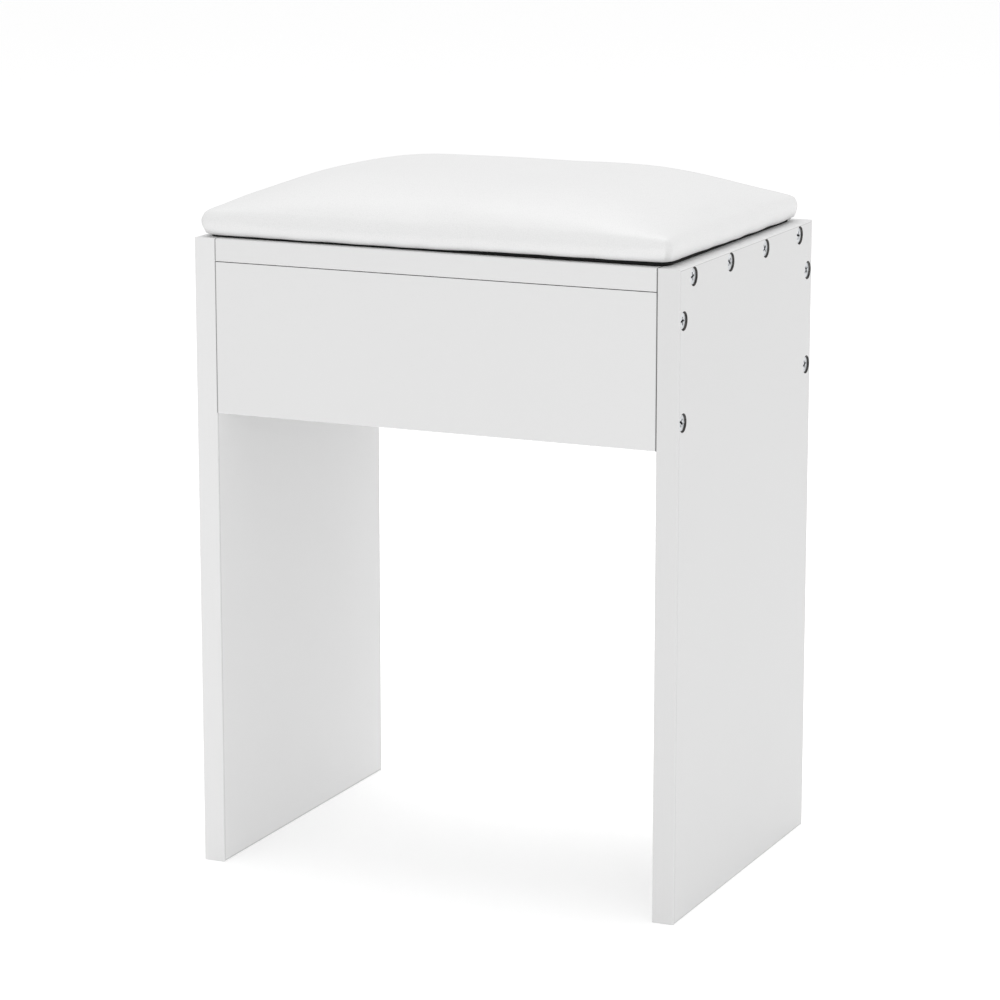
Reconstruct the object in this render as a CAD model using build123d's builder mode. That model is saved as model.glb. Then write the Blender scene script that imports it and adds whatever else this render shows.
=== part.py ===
"""Padded vanity stool: a white board frame screwed through its side panels, with an upholstered seat pad.

Millimetres, +Z up. The front faces -Y and the origin is the middle of the footprint on the floor.
Two side panels stand on the floor. A top board lies flush between them, with a front and a rear apron
under it. Every cut edge that shows is closed with a glued edge band. The seat pad is a plywood base,
a foam block and a stapled cover, closed below by a dust cover, and screwed on from under the top board.
"""
import os

from build123d import *

os.makedirs("parts", exist_ok=True)

# Frame boards
BOARD = 15.0
WIDTH = 338.0
DEPTH = 240.0
PANEL_HEIGHT = 421.0
APRON_REACH = 115.0  # from the panel's top edge down to the apron's bottom edge
APRON_GAP = 0.3  # shadow gap between the top board and an apron
BAND = 1.0  # thickness of an edge band
BAND_ROUND = 0.8  # rounding along a band's outer corners
INNER_WIDTH = WIDTH - 2 * BOARD
APRON_TOP = PANEL_HEIGHT - BOARD - APRON_GAP
APRON_BOTTOM = PANEL_HEIGHT - APRON_REACH

# Frame screws, 7 x 50 with a flat head and a cross recess, driven from outside through the side panels
SCREW_PITCH = 64.0
SCREW_INSET = BOARD / 2  # from the board's edge to the screw's axis
APRON_SCREW_DROP = 33.0  # from the panel's top edge to the first apron screw
SCREW_LENGTH = 50.0
MOUTH_RADIUS = 6.3  # dished mouth in the panel's face
DISH_RADIUS = 2.0  # radius of the dish's hollow wall
HEAD_SINK = 1.1  # the head's face lies this far below the panel's face
HEAD_RADIUS = 5.3
HEAD_RIM = 1.6
HEAD_CONE = 1.6
NECK_RADIUS = 3.4
NECK_LENGTH = 6.0
THREAD_RADIUS = 3.5
THREAD_ROOT = 2.4
THREAD_PITCH = 3.0
THREAD_LEAD, THREAD_FLANK, THREAD_BACK = 0.4, 0.3, 0.15  # shares of the pitch along one ridge
HEAD_EDGE = 0.4  # rounding of the head's edge
RECESS_SPAN = 5.6
RECESS_SLOT = 1.4
RECESS_DEPTH = 2.4
RECESS_TAPER = 10.0
POINT_ROOM = 1.0  # the hole goes this far past the screw's point
FIT = 0.1  # clearance round a screw
SCREW_TURNS = (12, 57, 33, 78, 5, 64, 40, 21)  # how far each cross recess happens to be turned, degrees

# Seat pad
PAD_X, PAD_Y = -2.6, -1.3  # the pad sits a little to the left and to the front
PAD_HALF_X = 166.2
PAD_HALF_Y = 118.4
PAD_CORNER = 9.0
PAD_TOP = 461.2
RIM_IN = 3.0  # the pad's bottom edge lies this far inside its widest line
RIM_UP = 7.5  # the widest line lies this far above the bottom edge
CROWN_SPAN = 0.5  # share of the half-width that the large middle arc covers
CROWN_DROP = 1.9  # how far the middle arc falls
BROW_IN, BROW_DOWN = 7.5, 19.5  # end of the shoulder arc, from the side and from the top
COVER = 1.2  # upholstery cover with its backing
COVER_FLAP = 28.0  # width of cover turned under and stapled
BASE_THICKNESS = 9.0
BASE_INSET = 5.0  # foam between the base's edge and the cover's widest line
BASE_CORNER = 6.0
CLOTH = 0.3  # dust cover cloth
HEM = 0.5  # its folded hem, on top of the cloth
HEM_WIDTH = 15.0
DUST_CORNER = 6.0
DUST_BOTTOM = PANEL_HEIGHT
COVER_BOTTOM = DUST_BOTTOM + CLOTH + HEM
BASE_BOTTOM = COVER_BOTTOM + COVER

# Staples, wide crown
STAPLE_CROWN = 12.8
STAPLE_WIDE = 1.0
STAPLE_THICK = 0.5
STAPLE_LEG = 6.0
COVER_STAPLE_INSET = 22.0  # from the pad's side to the cover's staples
DUST_STAPLE_INSET = 12.0

# Seat screws, pan head, driven up through the top board
SEAT_SCREW_X = 105.0
SEAT_SCREW_Y = 68.0
SEAT_SCREW_HEAD = 4.0
SEAT_SCREW_HEAD_HEIGHT = 2.4
SEAT_SCREW_DOME = 1.7  # rounding of the pan head
SEAT_SCREW_SLOT = (3.0, 0.9, 1.6)  # its cross recess: span, width and depth
SEAT_SCREW_RADIUS = 2.0
SEAT_SCREW_LENGTH = 24.0
BASE_ROOF = 1.0  # plywood left over the seat screws' holes

PAD_PLAN = Plane((PAD_X, PAD_Y, 0))
PAD_ACROSS = Plane((PAD_X, PAD_Y, 0), x_dir=(1, 0, 0), z_dir=(0, -1, 0))
PAD_ALONG = Plane((PAD_X, PAD_Y, 0), x_dir=(0, 1, 0), z_dir=(1, 0, 0))


def save(piece, node):
    """Labels a finished piece and writes its STEP file."""
    piece.part.label = node
    export_step(piece.part, f"parts/{node}.step")


def box_between(low, high):
    """Adds a box from its lowest to its highest corner to the open part."""
    size = [b - a for a, b in zip(low, high)]
    with Locations(tuple((a + b) / 2 for a, b in zip(low, high))):
        Box(*size)


def edge_band(low, high, along, outward, node):
    """A glued strip between two corners, rounded along the corners of its outward face."""
    with BuildPart() as band:
        box_between(low, high)
        fillet(band.faces().sort_by(outward)[-1].edges().filter_by(along), radius=BAND_ROUND)
    save(band, node)


# Places of the frame screws on a side panel, as (y, z) on its outer face
TOP_ROW = [((i - 1.5) * SCREW_PITCH, PANEL_HEIGHT - SCREW_INSET) for i in range(4)]
APRON_ROWS = [
    (side * (DEPTH / 2 - SCREW_INSET), PANEL_HEIGHT - APRON_SCREW_DROP - row * SCREW_PITCH)
    for side in (-1, 1)
    for row in range(2)
]


def screw_places(side):
    """Planes on a side panel's outer face, one for each screw, with their normals outwards."""
    places = []
    for (y, z), turn in zip(TOP_ROW + APRON_ROWS, SCREW_TURNS):
        slot = Vector(0, 1, 0).rotate(Axis.X, turn)
        places.append(Plane((side * WIDTH / 2, y, z), x_dir=slot, z_dir=(side, 0, 0)).location)
    return places


# One frame screw, its axis on Z and the panel's outer face at Z = 0
with BuildPart() as frame_screw:
    shoulder = -HEAD_SINK - HEAD_RIM
    neck_top = shoulder - HEAD_CONE
    thread_top = neck_top - NECK_LENGTH
    tip = -HEAD_SINK - SCREW_LENGTH
    turns = int((thread_top - tip) / THREAD_PITCH) - 1
    outline = [(0, -HEAD_SINK), (HEAD_RADIUS, -HEAD_SINK), (HEAD_RADIUS, shoulder)]
    outline += [(NECK_RADIUS, neck_top), (NECK_RADIUS, thread_top), (THREAD_ROOT, thread_top)]
    for turn in range(turns):
        start = thread_top - (turn + THREAD_LEAD) * THREAD_PITCH
        crest = start - THREAD_FLANK * THREAD_PITCH
        end = crest - THREAD_BACK * THREAD_PITCH
        outline += [(THREAD_ROOT, start), (THREAD_RADIUS, crest), (THREAD_ROOT, end)]
    outline += [(THREAD_ROOT, tip + THREAD_ROOT), (0, tip)]
    with BuildSketch(Plane.XZ):
        with BuildLine():
            Polyline(*outline, close=True)
        make_face()
    revolve(axis=Axis.Z)
    fillet(frame_screw.edges().filter_by(GeomType.CIRCLE).sort_by(Axis.Z)[-1], radius=HEAD_EDGE)
    with BuildSketch(Plane.XY.offset(-HEAD_SINK)):
        Rectangle(RECESS_SPAN, RECESS_SLOT)
        Rectangle(RECESS_SLOT, RECESS_SPAN)
    extrude(amount=-RECESS_DEPTH, taper=RECESS_TAPER, mode=Mode.SUBTRACT)

# The hole it leaves in a side panel: a dished mouth, a seat for the head and a clearance hole
with BuildPart() as panel_hole:
    seat = HEAD_RADIUS + FIT
    with BuildSketch(Plane.XZ):
        with BuildLine():
            mouth = RadiusArc((MOUTH_RADIUS, 0), (seat, -HEAD_SINK), -DISH_RADIUS)
            rim = Line(mouth @ 1, (seat, shoulder))
            cone = Line(rim @ 1, (NECK_RADIUS + FIT, neck_top - FIT))
            bore = Line(cone @ 1, (NECK_RADIUS + FIT, -BOARD))
            Polyline(bore @ 1, (0, -BOARD), (0, 0), mouth @ 0)
        make_face()
    revolve(axis=Axis.Z)

# The hole it leaves in the end of the top board or of an apron
with BuildPart() as end_hole:
    with BuildSketch(Plane.XY.offset(-BOARD)):
        Circle(THREAD_RADIUS + FIT)
    extrude(amount=tip - POINT_ROOM + BOARD)

# Side panels and their bands. The front and rear bands run the whole height over the top and bottom bands.
FRONT, REAR = -DEPTH / 2, DEPTH / 2
for name, side in (("left", -1), ("right", 1)):
    outer, inner = side * WIDTH / 2, side * INNER_WIDTH / 2
    x_low, x_high = min(outer, inner), max(outer, inner)
    with BuildPart() as side_panel:
        box_between((x_low, FRONT + BAND, BAND), (x_high, REAR - BAND, PANEL_HEIGHT - BAND))
        with Locations(*screw_places(side)):
            add(panel_hole.part, mode=Mode.SUBTRACT)
    save(side_panel, f"{name}_side_panel")
    strips = (
        ("front", (x_low, FRONT, 0), (x_high, FRONT + BAND, PANEL_HEIGHT), Axis.Z, -Axis.Y),
        ("rear", (x_low, REAR - BAND, 0), (x_high, REAR, PANEL_HEIGHT), Axis.Z, Axis.Y),
        (
            "top",
            (x_low, FRONT + BAND, PANEL_HEIGHT - BAND),
            (x_high, REAR - BAND, PANEL_HEIGHT),
            Axis.Y,
            Axis.Z,
        ),
        ("bottom", (x_low, FRONT + BAND, 0), (x_high, REAR - BAND, BAND), Axis.Y, -Axis.Z),
    )
    for edge, low, high, along, outward in strips:
        edge_band(low, high, along, outward, f"{name}_panel_{edge}_band")
    with BuildPart() as panel_screws:
        with Locations(*screw_places(side)):
            add(frame_screw.part)
    save(panel_screws, f"{name}_panel_screws")

# Top board, with the frame screws' holes in its ends and the seat screws' holes through it
SEAT_SCREWS = GridLocations(2 * SEAT_SCREW_X, 2 * SEAT_SCREW_Y, 2, 2)
half = INNER_WIDTH / 2
board_bottom = PANEL_HEIGHT - BOARD
with BuildPart() as top_board:
    box_between((-half, FRONT + BAND, board_bottom), (half, REAR - BAND, PANEL_HEIGHT))
    with Locations(*screw_places(-1), *screw_places(1)):
        add(end_hole.part, mode=Mode.SUBTRACT)
    with BuildSketch(Plane.XY.offset(board_bottom)):
        with SEAT_SCREWS:
            Circle(SEAT_SCREW_RADIUS + FIT)
    extrude(amount=BOARD, mode=Mode.SUBTRACT)
save(top_board, "top_board")
for edge, y_low, outward in (("front", FRONT, -Axis.Y), ("rear", REAR - BAND, Axis.Y)):
    low, high = (-half, y_low, board_bottom), (half, y_low + BAND, PANEL_HEIGHT)
    edge_band(low, high, Axis.X, outward, f"top_board_{edge}_band")

# Aprons, each with a band along its bottom edge
for name, low_y in (("front", FRONT), ("rear", REAR - BOARD)):
    with BuildPart() as apron:
        box_between((-half, low_y, APRON_BOTTOM + BAND), (half, low_y + BOARD, APRON_TOP))
        with Locations(*screw_places(-1), *screw_places(1)):
            add(end_hole.part, mode=Mode.SUBTRACT)
    save(apron, f"{name}_apron")
    edge_band(
        (-half, low_y, APRON_BOTTOM),
        (half, low_y + BOARD, APRON_BOTTOM + BAND),
        Axis.X,
        -Axis.Z,
        f"{name}_apron_bottom_band",
    )


def pad_section(reach, shrink):
    """The pad's section: flat below, bulging sides and a crown of three arcs, moved in by shrink."""
    widest = (reach, COVER_BOTTOM + RIM_UP)
    with BuildSketch() as section:
        with BuildLine():
            flat = Line((0, COVER_BOTTOM), (reach - RIM_IN, COVER_BOTTOM))
            TangentArc(widest, flat @ 1, tangent=(0, -1))
            crown = TangentArc((0, PAD_TOP), (CROWN_SPAN * reach, PAD_TOP - CROWN_DROP), tangent=(1, 0))
            brow = TangentArc(crown @ 1, (reach - BROW_IN, PAD_TOP - BROW_DOWN), tangent=crown % 1)
            TangentArc(widest, brow @ 1, tangent=(0, 1))
            mirror(about=Plane.YZ)
        make_face()
        if shrink:
            offset(amount=-shrink, mode=Mode.REPLACE)
    return section.sketch


def pad_form(shrink):
    """The crowned pad as one solid, moved in by shrink on every side. Used as a cutter and a blank."""
    with BuildPart() as form:
        with BuildSketch(PAD_ACROSS):
            add(pad_section(PAD_HALF_X, shrink))
        extrude(amount=DEPTH, both=True)
        with BuildSketch(PAD_ALONG):
            add(pad_section(PAD_HALF_Y, shrink))
        extrude(amount=WIDTH, both=True, mode=Mode.INTERSECT)
        with BuildSketch(PAD_PLAN):
            RectangleRounded(
                2 * (PAD_HALF_X - shrink), 2 * (PAD_HALF_Y - shrink), PAD_CORNER - shrink
            )
        extrude(amount=2 * PAD_TOP, mode=Mode.INTERSECT)
    return form.part


def staple_places(inset, count_x, count_y, z):
    """Locations of a ring of staples, their crowns along the pad's sides."""
    x, y = PAD_HALF_X - inset, PAD_HALF_Y - inset
    step_x, step_y = 2 * x / count_x, 2 * y / count_y
    places = []
    for side in (-1, 1):
        for i in range(count_x):
            along = (i - (count_x - 1) / 2) * step_x
            places.append(Location((PAD_X + along, PAD_Y + side * y, z)))
        for i in range(count_y):
            along = (i - (count_y - 1) / 2) * step_y
            places.append(Location((PAD_X + side * x, PAD_Y + along, z), (0, 0, 90)))
    return places


# One staple, its crown's underside at Z = 0 and its legs up
with BuildPart() as staple:
    with BuildSketch(Plane.XZ):
        with Locations((0, (STAPLE_LEG + STAPLE_THICK) / 2)):
            Rectangle(STAPLE_CROWN, STAPLE_LEG + STAPLE_THICK)
        with Locations((0, STAPLE_THICK + STAPLE_LEG / 2)):
            Rectangle(STAPLE_CROWN - 2 * STAPLE_THICK, STAPLE_LEG, mode=Mode.SUBTRACT)
    extrude(amount=STAPLE_WIDE / 2, both=True)

COVER_STAPLES = staple_places(COVER_STAPLE_INSET, 7, 5, COVER_BOTTOM - STAPLE_THICK)
DUST_STAPLES = staple_places(DUST_STAPLE_INSET, 6, 4, DUST_BOTTOM)

# Seat base, plywood, with blind holes for the seat screws and the staples' legs
with BuildPart() as seat_base:
    with BuildSketch(PAD_PLAN.offset(BASE_BOTTOM)):
        base_inset = COVER + BASE_INSET
        RectangleRounded(2 * (PAD_HALF_X - base_inset), 2 * (PAD_HALF_Y - base_inset), BASE_CORNER)
    extrude(amount=BASE_THICKNESS)
    with BuildSketch(Plane.XY.offset(BASE_BOTTOM)):
        with SEAT_SCREWS:
            Circle(SEAT_SCREW_RADIUS + FIT)
    extrude(amount=BASE_THICKNESS - BASE_ROOF, mode=Mode.SUBTRACT)
    with Locations(*COVER_STAPLES, *DUST_STAPLES):
        add(staple.part, mode=Mode.SUBTRACT)
save(seat_base, "seat_base")

# Foam, over the base and down round its edge
with BuildPart() as seat_foam:
    add(pad_form(COVER))
    with BuildSketch(PAD_PLAN.offset(BASE_BOTTOM)):
        RectangleRounded(2 * (PAD_HALF_X - base_inset), 2 * (PAD_HALF_Y - base_inset), BASE_CORNER)
    extrude(amount=BASE_THICKNESS, mode=Mode.SUBTRACT)
save(seat_foam, "seat_foam")

# Cover, a shell that is turned under and open in the middle below
with BuildPart() as seat_cover:
    add(pad_form(0))
    add(pad_form(COVER), mode=Mode.SUBTRACT)
    with BuildSketch(PAD_PLAN.offset(COVER_BOTTOM)):
        Rectangle(2 * (PAD_HALF_X - COVER_FLAP), 2 * (PAD_HALF_Y - COVER_FLAP))
    extrude(amount=COVER, mode=Mode.SUBTRACT)
    with Locations(*COVER_STAPLES, *DUST_STAPLES):
        add(staple.part, mode=Mode.SUBTRACT)
save(seat_cover, "seat_cover")

# Dust cover, one cloth with its hem folded in on top
with BuildPart() as dust_cover:
    dust_x, dust_y = PAD_HALF_X - RIM_IN, PAD_HALF_Y - RIM_IN
    with BuildSketch(PAD_PLAN.offset(DUST_BOTTOM)):
        RectangleRounded(2 * dust_x, 2 * dust_y, DUST_CORNER)
    extrude(amount=CLOTH + HEM)
    with BuildSketch(PAD_PLAN.offset(DUST_BOTTOM + CLOTH)):
        Rectangle(2 * (dust_x - HEM_WIDTH), 2 * (dust_y - HEM_WIDTH))
    extrude(amount=HEM, mode=Mode.SUBTRACT)
    with BuildSketch(Plane.XY.offset(DUST_BOTTOM)):
        with SEAT_SCREWS:
            Circle(SEAT_SCREW_RADIUS + FIT)
    extrude(amount=CLOTH + HEM, mode=Mode.SUBTRACT)
    with Locations(*DUST_STAPLES):
        add(staple.part, mode=Mode.SUBTRACT)
save(dust_cover, "dust_cover")

for node, places in (("cover_staples", COVER_STAPLES), ("dust_cover_staples", DUST_STAPLES)):
    with BuildPart() as staples:
        with Locations(*places):
            add(staple.part)
    save(staples, node)

# Seat screws, from the top board's underside up into the base
with BuildPart() as seat_screws:
    with BuildSketch(Plane.XY.offset(board_bottom)):
        with SEAT_SCREWS:
            Circle(SEAT_SCREW_RADIUS)
    extrude(amount=SEAT_SCREW_LENGTH)
    with BuildSketch(Plane.XY.offset(board_bottom)):
        with SEAT_SCREWS:
            Circle(SEAT_SCREW_HEAD)
    extrude(amount=-SEAT_SCREW_HEAD_HEIGHT)
    heads = seat_screws.faces().filter_by(Plane.XY).sort_by(Axis.Z)[:4]
    fillet(heads.edges(), radius=SEAT_SCREW_DOME)
    span, slot, depth = SEAT_SCREW_SLOT
    with BuildSketch(Plane.XY.offset(board_bottom - SEAT_SCREW_HEAD_HEIGHT)):
        with SEAT_SCREWS:
            Rectangle(span, slot)
            Rectangle(slot, span)
    extrude(amount=depth, mode=Mode.SUBTRACT)
save(seat_screws, "seat_screws")
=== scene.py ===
"""Vanity stool: finishes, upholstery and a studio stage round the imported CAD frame.

Everything is in metres in the CAD model's own frame: +Z up, the stool's front towards -Y, the floor at
Z = 0. Sizes come from the CAD nodes' boxes, and MM turns millimetres to metres.
"""
import math

import bmesh
import bpy
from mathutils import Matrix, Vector, noise


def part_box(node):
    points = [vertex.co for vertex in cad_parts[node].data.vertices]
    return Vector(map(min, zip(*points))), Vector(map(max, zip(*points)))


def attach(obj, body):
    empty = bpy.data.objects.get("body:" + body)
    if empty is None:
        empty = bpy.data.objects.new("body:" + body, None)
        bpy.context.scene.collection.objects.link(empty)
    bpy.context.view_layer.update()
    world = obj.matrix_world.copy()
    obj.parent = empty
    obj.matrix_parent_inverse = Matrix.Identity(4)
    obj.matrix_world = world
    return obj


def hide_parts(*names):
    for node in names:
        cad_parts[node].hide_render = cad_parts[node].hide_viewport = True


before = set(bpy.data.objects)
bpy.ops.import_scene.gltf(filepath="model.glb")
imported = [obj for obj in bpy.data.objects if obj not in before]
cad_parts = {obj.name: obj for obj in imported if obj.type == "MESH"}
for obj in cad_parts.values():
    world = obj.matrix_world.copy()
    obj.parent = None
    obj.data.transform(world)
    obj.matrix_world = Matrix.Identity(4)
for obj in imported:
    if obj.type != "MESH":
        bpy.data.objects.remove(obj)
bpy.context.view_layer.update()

bl_info = {
    "name": "Vanity Stool",
    "version": (1, 0, 0),
    "blender": (4, 5, 0),
    "location": "View3D > Sidebar > Stool",
    "description": "Builds the padded vanity stool's finishes, seat pad and studio stage",
    "category": "Add Mesh",
}

MM = 0.001
# Glue lines and joints are about 0.2 mm wide; they are drawn this far each way so that they show.
LINE_WIDTH = 0.5 * MM
# The joint lines are dirt and painted shade: the boards meet flush, and the dark grey stands in for the shade
# in the gap between them.
GLUE_LINE, JOINT_DIRT_AND_SHADE = "#bdbdbd", "#858585"
BODY = "root"

BOARDS = {"left_side_panel": 0, "right_side_panel": 0, "top_board": 2, "front_apron": 1, "rear_apron": 1}
BANDS = {
    "left_panel_front_band": 2,
    "left_panel_rear_band": 2,
    "left_panel_top_band": 1,
    "left_panel_bottom_band": 1,
    "right_panel_front_band": 2,
    "right_panel_rear_band": 2,
    "right_panel_top_band": 1,
    "right_panel_bottom_band": 1,
    "top_board_front_band": 0,
    "top_board_rear_band": 0,
    "front_apron_bottom_band": 0,
    "rear_apron_bottom_band": 0,
}
SCREWS = ("left_panel_screws", "right_panel_screws", "seat_screws")
STAPLES = ("cover_staples", "dust_cover_staples")


# ---------------------------------------------------------------- helpers


def colour(hex_code):
    """An sRGB hex colour such as "#e4e4e2" as linear RGBA."""
    parts = [int(hex_code[i : i + 2], 16) / 255 for i in (1, 3, 5)]
    return [c / 12.92 if c <= 0.04045 else ((c + 0.055) / 1.055) ** 2.4 for c in parts] + [1.0]


def add(tree, kind, inputs=None, **settings):
    """Adds a shader node, sets its properties, and fills its inputs with values or other nodes' sockets."""
    made = tree.nodes.new(kind)
    for name, value in settings.items():
        setattr(made, name, value)
    for name, value in (inputs or {}).items():
        if isinstance(value, bpy.types.NodeSocket):
            tree.links.new(value, made.inputs[name])
        else:
            made.inputs[name].default_value = value
    return made


def start_material(name):
    """A new material with only its output and a Principled shader, and its Object coordinates."""
    made = bpy.data.materials.new(name)
    made.use_nodes = True
    tree = made.node_tree
    tree.nodes.clear()
    shader = add(tree, "ShaderNodeBsdfPrincipled")
    add(tree, "ShaderNodeOutputMaterial", {"Surface": shader.outputs["BSDF"]})
    place = add(tree, "ShaderNodeTexCoord").outputs["Object"]
    return made, tree, shader, place


def ramp(tree, factor, stops):
    """A colour ramp's output, its stops given as (position, sRGB hex)."""
    made = add(tree, "ShaderNodeValToRGB", {"Fac": factor})
    band = made.color_ramp
    while len(band.elements) < len(stops):
        band.elements.new(0.5)
    for element, (position, hex_code) in zip(band.elements, stops):
        element.position = position
        element.color = colour(hex_code)
    return made.outputs["Color"]


def between(tree, value, low, high):
    """Scales a 0 to 1 value to a range."""
    inputs = {"Value": value, "To Min": low, "To Max": high}
    return add(tree, "ShaderNodeMapRange", inputs).outputs["Result"]


def stretched(tree, place, scale):
    """Object coordinates scaled by a factor along each axis."""
    return add(tree, "ShaderNodeMapping", {"Vector": place, "Scale": scale}).outputs["Vector"]


def bump(tree, height, depth_mm, strength, below=None):
    """A bump of that depth in millimetres, on top of another one."""
    inputs = {"Height": height, "Distance": depth_mm * MM, "Strength": strength}
    if below is not None:
        inputs["Normal"] = below
    return add(tree, "ShaderNodeBump", inputs).outputs["Normal"]


def lined(tree, place, face, lines, hex_code):
    """A face's colour with thin lines at places given as (axis, level), in metres."""
    for axis, level in lines:
        value = add(tree, "ShaderNodeSeparateXYZ", {"Vector": place}).outputs["XYZ"[axis]]
        inputs = {0: value, 1: level, 2: LINE_WIDTH}
        near = add(tree, "ShaderNodeMath", inputs, operation="COMPARE").outputs[0]
        inputs = {"Factor": near, 6: face, 7: colour(hex_code)}
        face = add(tree, "ShaderNodeMix", inputs, data_type="RGBA").outputs[2]
    return face


def paint(node, material):
    """Gives a CAD node its material."""
    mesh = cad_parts[node].data
    mesh.materials.clear()
    mesh.materials.append(material)


def finish_piece(piece, material, slot, *nodes):
    """A new piece's material, body and the CAD nodes that it stands for. slot is not used."""
    piece.data.materials.clear()
    piece.data.materials.append(material)
    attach(piece, BODY)
    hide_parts(*nodes)


def activate(piece):
    """Leaves only this object selected, and makes it the active one."""
    bpy.ops.object.select_all(action="DESELECT")
    piece.select_set(True)
    bpy.context.view_layer.objects.active = piece


def modify(piece, kind, **settings):
    """Adds a modifier and applies it."""
    made = piece.modifiers.new(kind.title(), kind)
    for name, value in settings.items():
        setattr(made, name, value)
    activate(piece)
    bpy.ops.object.modifier_apply(modifier=made.name)


def pick(piece, mode, wanted):
    """In edit mode, selects only the vertices, edges or faces that pass a test."""
    bpy.ops.mesh.select_mode(type={"verts": "VERT", "edges": "EDGE", "faces": "FACE"}[mode])
    bpy.ops.mesh.select_all(action="DESELECT")
    mesh = bmesh.from_edit_mesh(piece.data)
    for element in getattr(mesh, mode):
        if wanted(element):
            element.select_set(True)
    bmesh.update_edit_mesh(piece.data)


def ease(value):
    """0 below 0, 1 above 1, and a smooth rise between."""
    value = min(1.0, max(0.0, value))
    return value * value * (3 - 2 * value)


# ---------------------------------------------------------------- settings


class StoolFinish(bpy.types.PropertyGroup):
    """Colours of the stool's materials, as sRGB hex codes."""

    board: bpy.props.StringProperty(
        name="Board", description="White of the top board and the aprons", default="#dedede"
    )
    band: bpy.props.StringProperty(
        name="Edge band", description="White of the other PVC edge bands", default="#dedede"
    )
    cover: bpy.props.StringProperty(
        name="Cover", description="White of the artificial leather", default="#e8e8e8"
    )
    # The left panel's white is a lit copy of the board white: painted light.
    left: bpy.props.StringProperty(
        name="Left panel", description="White of the left panel", default="#e2e2e2"
    )
    # The right panel's white is a shaded copy of the board white: painted shade.
    right: bpy.props.StringProperty(
        name="Right panel", description="White of the right panel's face", default="#d5d5d5"
    )
    # The right front band's white is a shaded copy of the band white: painted shade.
    right_band_shaded_white: bpy.props.StringProperty(
        name="Right front band", description="White of the right panel's front band", default="#d9d9d9"
    )
    # The core's dark grey is partly the chips' colour and partly painted shade in the screw pockets.
    core: bpy.props.StringProperty(
        name="Core", description="Particleboard where it is cut", default="#403f3e"
    )


class StoolPad(bpy.types.PropertyGroup):
    """Shape of the seat pad."""

    rim_height: bpy.props.FloatProperty(
        name="Rim height", description="Upright side of the pad's blank", default=16.0 * MM, unit="LENGTH"
    )
    rise: bpy.props.FloatProperty(
        name="Rise", description="Room left for the crown to swell", default=0.7 * MM, unit="LENGTH"
    )
    widest: bpy.props.FloatProperty(
        name="Widest",
        description="Height above the staples where the side is widest",
        default=11.5 * MM,
        unit="LENGTH",
    )
    pucker: bpy.props.FloatProperty(
        name="Pucker", description="Depth of the cover's small puckers", default=0.7 * MM, unit="LENGTH"
    )
    shoulder: bpy.props.FloatProperty(
        name="Shoulder", description="Height of the foam's cut edge", default=15.5 * MM, unit="LENGTH"
    )
    fold: bpy.props.FloatProperty(
        name="Fold", description="Depth of the crease at each corner", default=1.4 * MM, unit="LENGTH"
    )
    bulge: bpy.props.FloatProperty(
        name="Bulge", description="Room left for the side to swell", default=4.0 * MM, unit="LENGTH"
    )
    corner: bpy.props.FloatProperty(
        name="Corner", description="Radius of the pad's corners", default=7.0 * MM, unit="LENGTH"
    )
    voxel: bpy.props.FloatProperty(
        name="Cloth size", description="Size of the simulated cloth's faces", default=4.0 * MM, unit="LENGTH"
    )
    pressure: bpy.props.FloatProperty(
        name="Pressure", description="Push of the foam on its cover", default=1.5
    )
    cap: bpy.props.FloatProperty(
        name="Cap", description="Furthest that a point may swell", default=2.5 * MM, unit="LENGTH"
    )
    dip: bpy.props.FloatProperty(
        name="Dip", description="How far the lower edge hangs past the hem", default=0.75 * MM, unit="LENGTH"
    )
    cover: bpy.props.FloatProperty(
        name="Cover", description="Thickness of the cover", default=1.2 * MM, unit="LENGTH"
    )
    twist: bpy.props.FloatProperty(
        name="Twist", description="Lift of the base's front right corner", default=1.2 * MM, unit="LENGTH"
    )


class StoolStage(bpy.types.PropertyGroup):
    """Camera and light."""

    eye: bpy.props.FloatVectorProperty(
        name="Camera", description="Camera's place", default=(1.0152, -2.2709, 0.7785), unit="LENGTH"
    )
    turn: bpy.props.FloatProperty(
        name="Turn",
        description="Camera's turn about the upright",
        default=math.radians(24.21),
        unit="ROTATION",
    )
    tilt: bpy.props.FloatProperty(
        name="Tilt", description="How far the camera looks down", default=math.radians(12.26), unit="ROTATION"
    )
    lens: bpy.props.FloatProperty(name="Lens", description="Focal length, on a 36 mm sensor", default=137.16)
    sky: bpy.props.FloatProperty(name="Sky", description="Strength of the even white light", default=0.73)


# ---------------------------------------------------------------- materials


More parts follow.
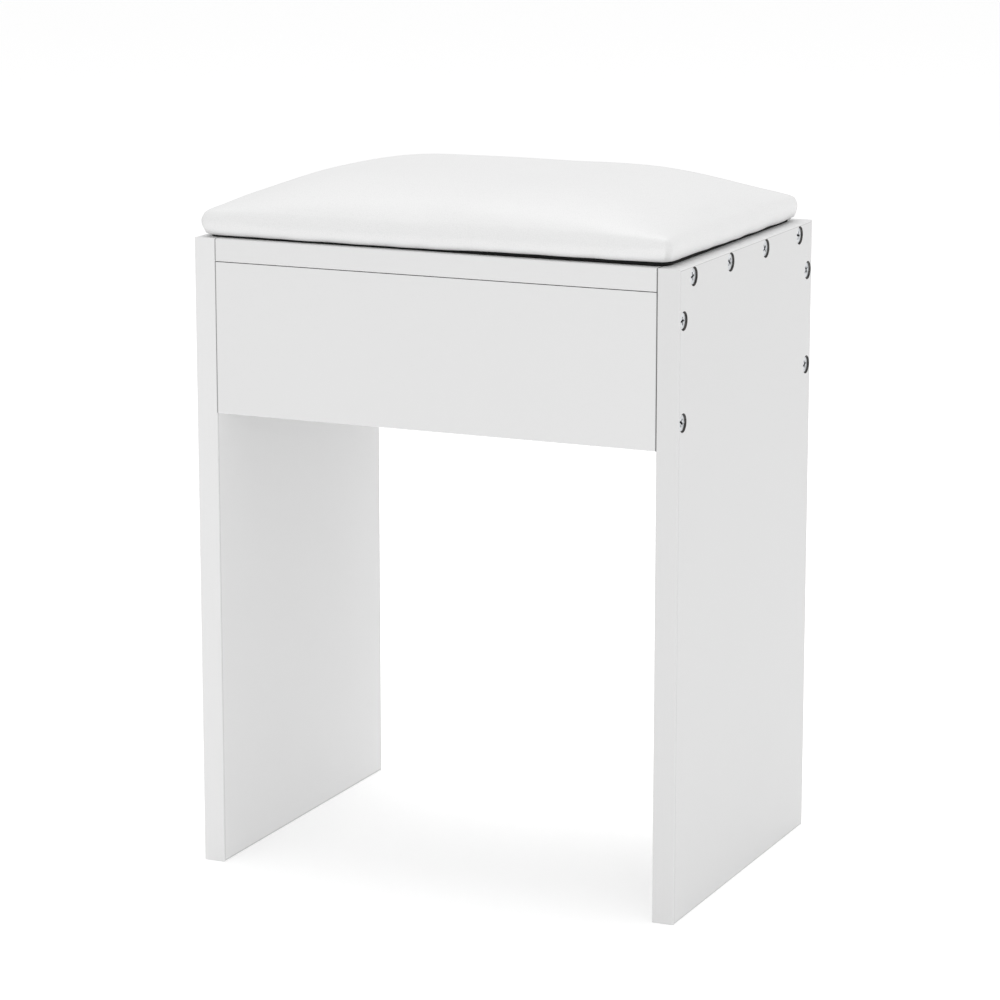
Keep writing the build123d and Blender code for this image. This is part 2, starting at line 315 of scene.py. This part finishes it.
def melamine_faced_board(name, white, across, low, high, glued, joints):
    """Melamine-faced particleboard, hot-pressed: a satin white face with a faint pearl, over a chip core.

    across is the axis through the board. What lies between its two faces is the cut core, a dark grey that is
    partly the chips' colour and partly painted shade in the screw pockets. glued gives the axis and place of
    each edge that a band is glued to, and joints those that meet another board, where a dark line is drawn:
    dirt, and painted shade for the gap between the boards.
    """
    made, tree, shader, place = start_material(name)
    finish = bpy.context.scene.stool_finish
    # The paper under the resin is a little cloudy over 60 to 100 mm.
    cloud = add(tree, "ShaderNodeTexNoise", {"Vector": place, "Scale": 12.0, "Detail": 3.0, "Roughness": 0.5})
    face = add(
        tree,
        "ShaderNodeMix",
        {"Factor": cloud.outputs["Fac"], 6: colour(white), 7: [c * 0.985 for c in colour(white)]},
        data_type="RGBA",
    ).outputs[2]
    # The press plate's pearl is about 0.3 mm; it is drawn at 1.2 mm so that it shows.
    inputs = {"Vector": place, "Scale": 800.0, "Detail": 2.0, "Roughness": 0.6}
    pearl = add(tree, "ShaderNodeTexNoise", inputs)
    # Chips are 1 to 3 mm across and lie flat in the board, so they are squeezed through its thickness.
    squeeze = [1.0, 1.0, 1.0]
    squeeze[across] = 2.5
    chips = add(
        tree,
        "ShaderNodeTexVoronoi",
        {"Vector": stretched(tree, place, squeeze), "Scale": 520.0, "Randomness": 1.0},
    )
    core_value = add(tree, "ShaderNodeSeparateColor", {"Color": chips.outputs["Color"]}).outputs["Red"]
    # These dark greys are partly the chips' colour and partly painted shade in the screw pockets.
    core = ramp(tree, core_value, [(0.0, "#2a2a29"), (0.55, finish.core), (1.0, "#5a5856")])
    split = add(tree, "ShaderNodeSeparateXYZ", {"Vector": place}).outputs["XYZ"[across]]
    middle, half = (low + high) / 2, (high - low) / 2
    off_middle = add(tree, "ShaderNodeMath", {0: split, 1: middle}, operation="SUBTRACT").outputs[0]
    depth = add(tree, "ShaderNodeMath", {0: off_middle}, operation="ABSOLUTE").outputs[0]
    cut = add(tree, "ShaderNodeMath", {0: depth, 1: half - 0.12 * MM}, operation="LESS_THAN").outputs[0]
    face = lined(tree, place, face, glued, GLUE_LINE)
    # Dark lines where the board meets the side panels: dirt and painted shade for the gap between the boards.
    face = lined(tree, place, face, joints, JOINT_DIRT_AND_SHADE)
    both = add(tree, "ShaderNodeMix", {"Factor": cut, 6: face, 7: core}, data_type="RGBA").outputs[2]
    tree.links.new(both, shader.inputs["Base Color"])
    satin = between(tree, pearl.outputs["Fac"], 0.40, 0.50)
    rough = add(tree, "ShaderNodeMix", {"Factor": cut, 2: satin, 3: 0.9}).outputs[0]
    tree.links.new(rough, shader.inputs["Roughness"])
    smooth = bump(tree, pearl.outputs["Fac"], 0.03, 0.35)
    torn = bump(tree, chips.outputs["Distance"], 0.4, 0.8)
    normal = add(tree, "ShaderNodeMix", {"Factor": cut, 4: smooth, 5: torn}, data_type="VECTOR").outputs[1]
    tree.links.new(normal, shader.inputs["Normal"])
    shader.inputs["IOR"].default_value = 1.5
    return made


def pvc_edge_band(name, white, along, joints):
    """PVC edge band, extruded, glued on and scraped: satin white with faint lines along its length."""
    made, tree, shader, place = start_material(name)
    # The scraper leaves lines about 0.4 mm apart along the strip; they are drawn 0.8 mm apart.
    scale = [1200.0, 1200.0, 1200.0]
    scale[along] = 18.0
    lines = add(
        tree, "ShaderNodeTexNoise", {"Vector": stretched(tree, place, scale), "Scale": 1.0, "Detail": 2.0}
    )
    mixed = add(
        tree,
        "ShaderNodeMix",
        {"Factor": lines.outputs["Fac"], 6: colour(white), 7: [c * 0.98 for c in colour(white)]},
        data_type="RGBA",
    ).outputs[2]
    # Dark lines where the band meets the side panels: dirt and painted shade for the gap between the boards.
    tree.links.new(lined(tree, place, mixed, joints, JOINT_DIRT_AND_SHADE), shader.inputs["Base Color"])
    tree.links.new(between(tree, lines.outputs["Fac"], 0.36, 0.48), shader.inputs["Roughness"])
    tree.links.new(bump(tree, lines.outputs["Fac"], 0.02, 0.4), shader.inputs["Normal"])
    shader.inputs["IOR"].default_value = 1.53
    return made


def zinc_plated_steel(name, face):
    """Steel screws, cold-headed and bright zinc plated: a bright grey with slightly cloudy gloss.

    face is the distance of the heads' faces from the middle of the stool, along X. In the cross recess and
    behind the head the colour turns dark grey: painted shade in the recess.
    """
    made, tree, shader, place = start_material(name)
    # Plating clouds are 1 to 2 mm across.
    cloud = add(tree, "ShaderNodeTexNoise", {"Vector": place, "Scale": 700.0, "Detail": 4.0})
    bright = ramp(tree, cloud.outputs["Fac"], [(0.3, "#b4b7ba"), (0.7, "#dcdee0")])
    across = add(tree, "ShaderNodeSeparateXYZ", {"Vector": place}).outputs["X"]
    depth = add(tree, "ShaderNodeMath", {0: across}, operation="ABSOLUTE").outputs[0]
    # Deeper than 0.2 to 0.7 mm under the head's face the colour goes to dark grey #424547: painted shade in
    # the recess.
    inputs = {"Value": depth, "From Min": face - 0.7 * MM, "From Max": face - 0.2 * MM}
    clear_of_painted_shade = add(tree, "ShaderNodeMapRange", inputs).outputs["Result"]
    tint = add(
        tree, "ShaderNodeMix", {"Factor": clear_of_painted_shade, 6: colour("#424547"), 7: bright}, data_type="RGBA"
    ).outputs[2]
    tree.links.new(tint, shader.inputs["Base Color"])
    tree.links.new(between(tree, cloud.outputs["Fac"], 0.28, 0.42), shader.inputs["Roughness"])
    tree.links.new(bump(tree, cloud.outputs["Fac"], 0.02, 0.5), shader.inputs["Normal"])
    shader.inputs["Metallic"].default_value = 1.0
    return made


def galvanised_wire():
    """Staple wire, drawn and galvanised: dull grey metal with die lines."""
    made, tree, shader, place = start_material("galvanised_wire")
    lines = add(
        tree, "ShaderNodeTexNoise", {"Vector": stretched(tree, place, (200.0, 4000.0, 4000.0)), "Scale": 1.0}
    )
    tint = ramp(tree, lines.outputs["Fac"], [(0.3, "#8f9295"), (0.7, "#b9bcbe")])
    tree.links.new(tint, shader.inputs["Base Color"])
    tree.links.new(between(tree, lines.outputs["Fac"], 0.35, 0.55), shader.inputs["Roughness"])
    shader.inputs["Metallic"].default_value = 1.0
    return made


def artificial_leather():
    """Artificial leather, polyurethane embossed on cloth: soft satin white with a fine pebble grain."""
    made, tree, shader, place = start_material("artificial_leather")
    finish = bpy.context.scene.stool_finish
    # Pebbles are about 0.8 mm across; they are drawn at 1.1 mm so that they show.
    warp = add(tree, "ShaderNodeTexNoise", {"Vector": place, "Scale": 500.0, "Detail": 2.0})
    shifted = add(
        tree,
        "ShaderNodeVectorMath",
        {0: warp.outputs["Color"], "Scale": 0.6 * MM},
        operation="SCALE",
    ).outputs["Vector"]
    moved = add(tree, "ShaderNodeVectorMath", {0: place, 1: shifted}, operation="ADD").outputs["Vector"]
    pebbles = add(
        tree, "ShaderNodeTexVoronoi", {"Vector": moved, "Scale": 900.0}, feature="DISTANCE_TO_EDGE"
    )
    dome = between(tree, pebbles.outputs["Distance"], 0.0, 3.0)
    pores = add(tree, "ShaderNodeTexNoise", {"Vector": place, "Scale": 1600.0, "Detail": 3.0})
    cloud = add(tree, "ShaderNodeTexNoise", {"Vector": place, "Scale": 25.0, "Detail": 2.0})
    white = add(
        tree,
        "ShaderNodeMix",
        {"Factor": cloud.outputs["Fac"], 6: colour(finish.cover), 7: colour("#e6e6e6")},
        data_type="RGBA",
    ).outputs[2]
    # The grain's valleys are a darker grey: painted shade in the hollows between pebbles.
    painted_valley_shade = add(
        tree,
        "ShaderNodeMix",
        {"Factor": between(tree, pebbles.outputs["Distance"], 0.0, 6.0), 6: colour("#e1e1e1"), 7: white},
        data_type="RGBA",
        clamp_factor=True,
    ).outputs[2]
    tree.links.new(painted_valley_shade, shader.inputs["Base Color"])
    tree.links.new(between(tree, pores.outputs["Fac"], 0.38, 0.50), shader.inputs["Roughness"])
    fine = bump(tree, pores.outputs["Fac"], 0.02, 0.3)
    tree.links.new(bump(tree, dome, 0.05, 0.35, fine), shader.inputs["Normal"])
    shader.inputs["IOR"].default_value = 1.46
    return made


def polyurethane_foam():
    """Polyurethane foam, block-foamed and cut: pale cream with open cells."""
    made, tree, shader, place = start_material("polyurethane_foam")
    # Cells are about 0.8 mm across.
    cells = add(tree, "ShaderNodeTexVoronoi", {"Vector": place, "Scale": 1200.0})
    tint = ramp(tree, cells.outputs["Distance"], [(0.1, "#b9ab7d"), (0.6, "#ece2bd")])
    tree.links.new(tint, shader.inputs["Base Color"])
    tree.links.new(bump(tree, cells.outputs["Distance"], 0.4, 0.9), shader.inputs["Normal"])
    shader.inputs["Roughness"].default_value = 0.95
    return made


def birch_plywood(low, high):
    """Plywood, peeled birch veneers pressed crosswise: pale grain on the faces, stripes on the edges."""
    made, tree, shader, place = start_material("birch_plywood")
    grain = add(
        tree,
        "ShaderNodeTexNoise",
        {"Vector": stretched(tree, place, (14.0, 260.0, 260.0)), "Scale": 1.0, "Detail": 5.0},
    )
    face = ramp(tree, grain.outputs["Fac"], [(0.3, "#b58f62"), (0.7, "#dcc196")])
    # Seven veneers in the board's thickness, light and dark in turn.
    level = add(tree, "ShaderNodeSeparateXYZ", {"Vector": place}).outputs["Z"]
    plies = add(
        tree,
        "ShaderNodeMapRange",
        {"Value": level, "From Min": low, "From Max": high, "To Min": 0.0, "To Max": 7 * math.pi},
        clamp=False,
    ).outputs["Result"]
    stripe = add(tree, "ShaderNodeMath", {0: plies}, operation="SINE").outputs[0]
    dark = add(tree, "ShaderNodeMath", {0: stripe, 1: 0.0}, operation="LESS_THAN").outputs[0]
    edge = add(
        tree, "ShaderNodeMix", {"Factor": dark, 6: face, 7: colour("#8f6b43")}, data_type="RGBA"
    ).outputs[2]
    tree.links.new(edge, shader.inputs["Base Color"])
    tree.links.new(bump(tree, grain.outputs["Fac"], 0.1, 0.5), shader.inputs["Normal"])
    shader.inputs["Roughness"].default_value = 0.75
    return made


def spunbond_cloth():
    """Spunbond polypropylene dust cloth: matt black fibres, welded in a grid of small dots."""
    made, tree, shader, place = start_material("spunbond_cloth")
    # Weld dots are 1.5 mm apart.
    dots = add(
        tree, "ShaderNodeTexVoronoi", {"Vector": place, "Scale": 660.0, "Randomness": 0.0}
    )
    fibres = add(tree, "ShaderNodeTexNoise", {"Vector": place, "Scale": 1500.0, "Detail": 5.0})
    tint = ramp(tree, fibres.outputs["Fac"], [(0.35, "#020202"), (0.7, "#0a0a0a")])
    tree.links.new(tint, shader.inputs["Base Color"])
    weave = bump(tree, fibres.outputs["Fac"], 0.1, 0.6)
    tree.links.new(bump(tree, dots.outputs["Distance"], 0.15, 0.6, weave), shader.inputs["Normal"])
    shader.inputs["Roughness"].default_value = 0.92
    return made


def pale_floor():
    """A studio floor, painted matt white."""
    made, tree, shader, place = start_material("pale_floor")
    grit = add(tree, "ShaderNodeTexNoise", {"Vector": place, "Scale": 400.0, "Detail": 2.0})
    tree.links.new(bump(tree, grit.outputs["Fac"], 0.05, 0.1), shader.inputs["Normal"])
    shader.inputs["Base Color"].default_value = colour("#f7f7f7")
    shader.inputs["Roughness"].default_value = 0.9
    shader.inputs["Specular IOR Level"].default_value = 0.1
    shader.inputs["Emission Color"].default_value = colour("#ffffff")
    shader.inputs["Emission Strength"].default_value = 0.3
    return made


# ---------------------------------------------------------------- seat pad


def twist(piece, above=-1.0):
    """Lifts a piece's points over the warped base: right of its middle, and most along its front."""
    low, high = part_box("seat_base")
    lift = bpy.context.scene.stool_pad.twist
    for vertex in piece.data.vertices:
        co = vertex.co
        across = ease((co.x + 12 * MM) / (60 * MM)) * (0.8 + 0.2 * ease(co.x / high.x))
        along = min(1.0, max(0.0, (high.y - co.y) / (high.y - low.y))) ** 0.6
        if co.z > above:
            co.z += lift * across * along


def pad_blank():
    """The pad's plain form: a low box with rounded corners, remeshed, and crowned as the foam is cut."""
    pad = bpy.context.scene.stool_pad
    low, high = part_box("seat_cover")
    centre, half = (low + high) / 2, (high - low) / 2
    bpy.ops.object.select_all(action="DESELECT")
    bpy.ops.mesh.primitive_cube_add(
        size=1,
        location=(centre.x, centre.y, low.z + pad.rim_height / 2),
        scale=(2 * (half.x - pad.bulge), 2 * (half.y - pad.bulge), pad.rim_height),
    )
    blank = bpy.context.object
    blank.name = blank.data.name = "pad_form"
    bpy.ops.object.transform_apply(location=True, rotation=True, scale=True)
    bpy.ops.object.mode_set(mode="EDIT")
    pick(blank, "edges", lambda e: abs(e.verts[0].co.z - e.verts[1].co.z) > pad.rim_height / 2)
    bpy.ops.mesh.bevel(offset=pad.corner, segments=6, affect="EDGES")
    bpy.ops.object.mode_set(mode="OBJECT")
    modify(blank, "REMESH", mode="VOXEL", voxel_size=pad.voxel)
    modify(blank, "SMOOTH", factor=0.5, iterations=3)
    crown = high.z - low.z - pad.rim_height - pad.rise
    power = 4.2  # how flat the crown's middle is, and how steep its edges
    for vertex in blank.data.vertices:
        co = vertex.co
        across = min(1.0, abs(co.x - centre.x) / (half.x - pad.bulge))
        along = min(1.0, abs(co.y - centre.y) / (half.y - pad.bulge))
        raised = ease((co.z - low.z) / pad.rim_height * 1.6 - 0.6)
        # The side swells most a little above half its height, and draws in to the staples below.
        swollen = pad.bulge * max(0.0, 1 - ((co.z - low.z) / pad.widest - 1) ** 2) - 0.2 * pad.bulge * raised
        co.x += math.copysign(swollen, co.x - centre.x) * ease((across - 0.86) / 0.12)
        co.y += math.copysign(swollen, co.y - centre.y) * ease((along - 0.82) / 0.16)
        co.z += crown * (1 - across**power) * (1 - along**power) * raised
    return blank


def swell(blank):
    """Blows the cover up over the foam by a cloth simulation, its underside held, and caps the movement."""
    pad = bpy.context.scene.stool_pad
    low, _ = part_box("seat_cover")
    start = [v.co.copy() for v in blank.data.vertices]
    held = blank.vertex_groups.new(name="stapled")
    held.add([i for i, co in enumerate(start) if co.z < low.z + 2 * MM], 1.0, "REPLACE")
    cloth = blank.modifiers.new("Cloth", "CLOTH")
    settings = cloth.settings
    settings.quality = 5
    settings.mass = 0.3
    settings.tension_stiffness = settings.compression_stiffness = 15
    settings.shear_stiffness = 5
    settings.bending_stiffness = 0.5
    settings.use_pressure = True
    settings.uniform_pressure_force = pad.pressure
    settings.vertex_group_mass = held.name
    settings.effector_weights.gravity = 0
    cloth.point_cache.frame_start, cloth.point_cache.frame_end = 1, 20
    for step in range(1, 21):
        bpy.context.scene.frame_set(step)
    activate(blank)
    bpy.ops.object.modifier_apply(modifier=cloth.name)
    bpy.context.scene.frame_set(1)
    furthest = 0.0
    for vertex, first in zip(blank.data.vertices, start):
        move = vertex.co - first
        furthest = max(furthest, move.length)
        if move.length > 1e-9:
            vertex.co = first + move * (pad.cap * math.tanh(move.length / pad.cap) / move.length)
    print(f"swelling moved a point {furthest / MM:.1f} mm at most before its cap")
    blank.vertex_groups.clear()


def pull_tight(form):
    """Creases the four corners where the cover is folded, and puckers its side between the staples."""
    pad = bpy.context.scene.stool_pad
    low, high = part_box("seat_cover")
    centre, half = (low + high) / 2, (high - low) / 2
    normals = [v.normal.copy() for v in form.data.vertices]
    for vertex, normal in zip(form.data.vertices, normals):
        co = vertex.co
        level = (co.z - low.z) / (16 * MM)
        on_side = ease(level * 4) * ease((1.3 - level) * 2.0)
        ripple = noise.noise(Vector((co.x / (16 * MM), co.y / (16 * MM), 2.0 + co.z / (40 * MM))))
        dimple = noise.noise(Vector((co.x / (55 * MM), co.y / (55 * MM), 7.0)))
        move = pad.pucker * (ripple * on_side * (1 - 0.4 * level) + dimple * ease(level - 0.6))
        # The foam's cut edge shows through as a soft ridge round the shoulder.
        edge = max(abs(co.x - centre.x) - half.x, abs(co.y - centre.y) - half.y) + 16 * MM
        ridge = math.exp(-(((co.z - low.z - pad.shoulder) / (2.0 * MM)) ** 2))
        move += 0.4 * MM * ridge * ease(edge / (6 * MM))
        beyond_x = abs(co.x - centre.x) - (half.x - pad.corner)
        beyond_y = abs(co.y - centre.y) - (half.y - pad.corner)
        if beyond_x > -2 * MM and beyond_y > -2 * MM:
            arc = (math.atan2(beyond_y, beyond_x) - math.pi / 4) * pad.corner
            closing = ease(level * 4) * ease((1.25 - level) / 1.05)
            move -= pad.fold * math.exp(-((arc / (1.0 * MM)) ** 2)) * closing
            move += pad.fold / 3 * math.exp(-(((abs(arc) - 2.5 * MM) / (1.3 * MM)) ** 2)) * closing
        vertex.co = co + normal * move


def pad_form():
    """The finished outer form of the pad, closed, as a mesh object that the foam and cover are made from."""
    pad = bpy.context.scene.stool_pad
    form = pad_blank()
    swell(form)
    modify(form, "SMOOTH", factor=0.5, iterations=2)
    modify(form, "SUBSURF", levels=1, render_levels=1)
    pull_tight(form)
    # The staples pull the lower edge down tight, a little past the dust cloth's hem.
    low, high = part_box("seat_cover")
    centre, half = (low + high) / 2, (high - low) / 2
    for vertex in form.data.vertices:
        co = vertex.co
        height = co.z - low.z
        beyond = max(abs(co.x - centre.x) - half.x, abs(co.y - centre.y) - half.y) + 7 * MM
        if height < 7 * MM:
            co.z = low.z + height * ease(0.25 + 0.75 * height / (7 * MM))
            co.z -= pad.dip * ease(beyond / (3 * MM)) * (1 - height / (7 * MM))
    twist(form)
    return form


def copy_of(piece, name):
    """A copy of an object with its own mesh."""
    made = piece.copy()
    made.data = piece.data.copy()
    made.name = made.data.name = name
    bpy.context.scene.collection.objects.link(made)
    return made


def push(piece, distance):
    """Moves every vertex along its normal."""
    normals = [v.normal.copy() for v in piece.data.vertices]
    for vertex, normal in zip(piece.data.vertices, normals):
        vertex.co += normal * distance


class STOOL_OT_seat_pad(bpy.types.Operator):
    """Model the foam and the upholstered cover of the seat pad"""

    bl_idname = "stool.seat_pad"
    bl_label = "Seat Pad"

    def execute(self, context):
        pad = context.scene.stool_pad
        form = pad_form()
        low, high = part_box("seat_cover")
        centre, half = (low + high) / 2, (high - low) / 2
        base_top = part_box("seat_base")[1].z

        foam = copy_of(form, "foam_pad")
        push(foam, -pad.cover * 1.3)
        activate(foam)
        bpy.ops.object.mode_set(mode="EDIT")
        bpy.ops.mesh.select_all(action="SELECT")
        bpy.ops.mesh.bisect(
            plane_co=(0, 0, base_top + pad.twist), plane_no=(0, 0, 1), clear_inner=True, use_fill=True
        )
        bpy.ops.object.mode_set(mode="OBJECT")
        bpy.ops.object.shade_smooth_by_angle(angle=math.radians(50))
        finish_piece(foam, polyurethane_foam(), "foam", "seat_foam")

        cover = form
        cover.name = cover.data.name = "upholstered_cover"
        flap = 28 * MM
        activate(cover)
        bpy.ops.object.mode_set(mode="EDIT")
        pick(
            cover,
            "faces",
            lambda f: f.normal.z < -0.9
            and f.calc_center_median().z < low.z + 3 * MM
            and abs(f.calc_center_median().x - centre.x) < half.x - flap
            and abs(f.calc_center_median().y - centre.y) < half.y - flap,
        )
        bpy.ops.mesh.delete(type="FACE")
        bpy.ops.object.mode_set(mode="OBJECT")
        modify(cover, "SOLIDIFY", thickness=pad.cover, offset=-1.0, use_rim=True)
        bpy.ops.object.shade_smooth()
        finish_piece(cover, artificial_leather(), "upholstery", "seat_cover")
        return {"FINISHED"}


class STOOL_OT_seat_base(bpy.types.Operator):
    """Model the slightly twisted plywood base inside the seat pad"""

    bl_idname = "stool.seat_base"
    bl_label = "Seat Base"

    def execute(self, context):
        base = copy_of(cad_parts["seat_base"], "plywood_base")
        base.parent = None
        for key in list(base.keys()):
            del base[key]
        activate(base)
        bpy.ops.object.mode_set(mode="EDIT")
        bpy.ops.mesh.select_all(action="SELECT")
        bpy.ops.mesh.remove_doubles(threshold=0.00001)
        bpy.ops.object.mode_set(mode="OBJECT")
        twist(base)
        bpy.ops.object.shade_smooth_by_angle(angle=math.radians(30))
        low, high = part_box("seat_base")
        finish_piece(base, birch_plywood(low.z, high.z), "plywood", "seat_base")
        return {"FINISHED"}


class STOOL_OT_dust_cloth(bpy.types.Operator):
    """Model the black dust cloth under the seat pad, with its hem folded in"""

    bl_idname = "stool.dust_cloth"
    bl_label = "Dust Cloth"

    def execute(self, context):
        low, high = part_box("dust_cover")
        centre, size = (low + high) / 2, high - low
        cloth, hem, inset = 0.3 * MM, 15 * MM, 3.4 * MM
        bpy.ops.object.select_all(action="DESELECT")
        bpy.ops.mesh.primitive_grid_add(
            x_subdivisions=96, y_subdivisions=70, size=1, location=(centre.x, centre.y, low.z + cloth / 2)
        )
        piece = context.object
        piece.name = piece.data.name = "dust_cloth"
        piece.scale = (size.x - 2 * inset, size.y - 2 * inset, 1)
        bpy.ops.object.transform_apply(location=True, rotation=True, scale=True)
        # Its corners are rounded inside the pad's.
        corner = 8 * MM
        for vertex in piece.data.vertices:
            past = Vector([abs(vertex.co[i] - centre[i]) - (size[i] / 2 - inset - corner) for i in (0, 1)])
            if min(past) > 0:
                for i in (0, 1):
                    sign = math.copysign(1, vertex.co[i] - centre[i])
                    vertex.co[i] += sign * past[i] * (max(past) / past.length - 1)
        bpy.ops.object.mode_set(mode="EDIT")
        pick(piece, "edges", lambda e: e.is_boundary)
        bpy.ops.mesh.extrude_region_move(TRANSFORM_OT_translate={"value": (0, 0, size.z - cloth)})
        bpy.ops.mesh.extrude_region_move()
        bpy.ops.transform.resize(
            value=((size.x - 2 * hem) / size.x, (size.y - 2 * hem) / size.y, 1), center_override=centre
        )
        bpy.ops.object.mode_set(mode="OBJECT")
        twist(piece, above=low.z + cloth)
        modify(piece, "SOLIDIFY", thickness=cloth, offset=0.0, use_rim=True)
        bpy.ops.object.shade_smooth_by_angle(angle=math.radians(40))
        finish_piece(piece, spunbond_cloth(), "dust_cloth", "dust_cover")
        return {"FINISHED"}


# ---------------------------------------------------------------- finishes on CAD nodes


class STOOL_OT_boards(bpy.types.Operator):
    """Give the side panels, top board and aprons their melamine faces and chip core"""

    bl_idname = "stool.boards"
    bl_label = "Boards"

    def execute(self, context):
        for node, across in BOARDS.items():
            low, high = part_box(node)
            finish = context.scene.stool_finish
            # The side panels have bands on four edges. The other boards meet the side panels at their ends.
            glued = [(axis, end[axis]) for axis in (1, 2) for end in (low, high)] if across == 0 else []
            # The left and right panels take lit and shaded copies of the board white: painted light and
            # painted shade.
            white = {"left": finish.left, "right": finish.right}.get(node.split("_")[0], finish.board)
            joints = [] if across == 0 else [(0, low.x), (0, high.x)]
            name = "melamine_" + node
            levels = (low[across], high[across])
            paint(node, melamine_faced_board(name, white, across, *levels, glued, joints))
        return {"FINISHED"}


class STOOL_OT_edge_bands(bpy.types.Operator):
    """Give the edge bands their scraped PVC"""

    bl_idname = "stool.edge_bands"
    bl_label = "Edge Bands"

    def execute(self, context):
        finish = context.scene.stool_finish
        for node, along in BANDS.items():
            # Left bands take the left panel's lit white, the right front band a shaded white: painted light
            # and painted shade.
            white = finish.left if node.startswith("left") else finish.band
            if node == "right_panel_front_band":
                white = finish.right_band_shaded_white
            joints = [(0, end.x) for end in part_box(node)] if along == 0 else []
            paint(node, pvc_edge_band("pvc_" + node, white, along, joints))
        return {"FINISHED"}


class STOOL_OT_fasteners(bpy.types.Operator):
    """Give the screws their zinc plate and the staples their galvanised wire"""

    bl_idname = "stool.fasteners"
    bl_label = "Fasteners"

    def execute(self, context):
        wire = galvanised_wire()
        for node in SCREWS:
            face = 0.0 if node == "seat_screws" else max(abs(c.x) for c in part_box(node))
            paint(node, zinc_plated_steel("bright_zinc_" + node, face))
        for node in STAPLES:
            paint(node, wire)
        return {"FINISHED"}


# ---------------------------------------------------------------- stage


def softbox(name, place, aim, width, height, power):
    """A rectangular studio light that faces a point."""
    light = bpy.data.lights.new(name, "AREA")
    light.shape = "RECTANGLE"
    light.size, light.size_y, light.energy = width, height, power
    lamp = bpy.data.objects.new(name, light)
    lamp.location = place
    lamp.rotation_euler = (Vector(aim) - Vector(place)).to_track_quat("-Z", "Y").to_euler()
    bpy.context.scene.collection.objects.link(lamp)
    return lamp


class STOOL_OT_stage(bpy.types.Operator):
    """Set up the pale floor, the soft studio light and the camera"""

    bl_idname = "stool.stage"
    bl_label = "Stage"

    def execute(self, context):
        scene = context.scene
        stage = scene.stool_stage
        bpy.ops.object.select_all(action="DESELECT")
        bpy.ops.mesh.primitive_plane_add(size=60, location=(0, 0, 0))
        floor = context.object
        floor.name = floor.data.name = "floor"
        floor.data.materials.append(pale_floor())

        world = bpy.data.worlds.new("even_white")
        world.use_nodes = True
        scene.world = world
        sky = world.node_tree.nodes["Background"]
        sky.inputs["Color"].default_value = colour("#ffffff")
        sky.inputs["Strength"].default_value = stage.sky

        softbox("key", (-1.2, -2.6, 2.4), (0, 0, 0.3), 1.6, 1.6, 5)
        softbox("top", (-0.2, 0.5, 3.0), (0, 0, 0.3), 2.0, 2.0, 30)
        softbox("fill", (1.9, -2.2, 0.6), (-0.15, 0, 0.2), 1.4, 1.0, 7)
        softbox("rear_fill", (1.6, 2.2, 0.6), (-0.15, 0, 0.2), 1.4, 1.0, 3)

        camera = bpy.data.cameras.new("camera")
        camera.lens = stage.lens
        camera.sensor_width = 36
        camera.clip_start, camera.clip_end = 0.1, 200
        holder = bpy.data.objects.new("camera", camera)
        holder.location = stage.eye
        holder.rotation_euler = (math.pi / 2 - stage.tilt, 0, stage.turn)
        scene.collection.objects.link(holder)
        scene.camera = holder
        scene.view_settings.view_transform = "Standard"
        return {"FINISHED"}


# ---------------------------------------------------------------- add-on


class STOOL_PT_panel(bpy.types.Panel):
    """Stool tools in the sidebar"""

    bl_idname = "STOOL_PT_panel"
    bl_label = "Vanity Stool"
    bl_space_type = "VIEW_3D"
    bl_region_type = "UI"
    bl_category = "Stool"

    def draw(self, context):
        layout = self.layout
        for group in (context.scene.stool_finish, context.scene.stool_pad, context.scene.stool_stage):
            box = layout.box()
            for name in group.bl_rna.properties.keys():
                if name not in ("rna_type", "name"):
                    box.prop(group, name)
        for operator in OPERATORS:
            layout.operator(operator.bl_idname)


OPERATORS = (
    STOOL_OT_boards,
    STOOL_OT_edge_bands,
    STOOL_OT_fasteners,
    STOOL_OT_seat_base,
    STOOL_OT_seat_pad,
    STOOL_OT_dust_cloth,
    STOOL_OT_stage,
)
GROUPS = {"stool_finish": StoolFinish, "stool_pad": StoolPad, "stool_stage": StoolStage}


def register():
    for cls in (*GROUPS.values(), *OPERATORS, STOOL_PT_panel):
        bpy.utils.register_class(cls)
    for name, group in GROUPS.items():
        setattr(bpy.types.Scene, name, bpy.props.PointerProperty(type=group))


def unregister():
    for name in GROUPS:
        delattr(bpy.types.Scene, name)
    for cls in reversed((*GROUPS.values(), *OPERATORS, STOOL_PT_panel)):
        bpy.utils.unregister_class(cls)


def main():
    register()
    bpy.ops.stool.boards()
    bpy.ops.stool.edge_bands()
    bpy.ops.stool.fasteners()
    bpy.ops.stool.seat_base()
    bpy.ops.stool.seat_pad()
    bpy.ops.stool.dust_cloth()
    bpy.ops.stool.stage()


if __name__ == "__main__":
    main()
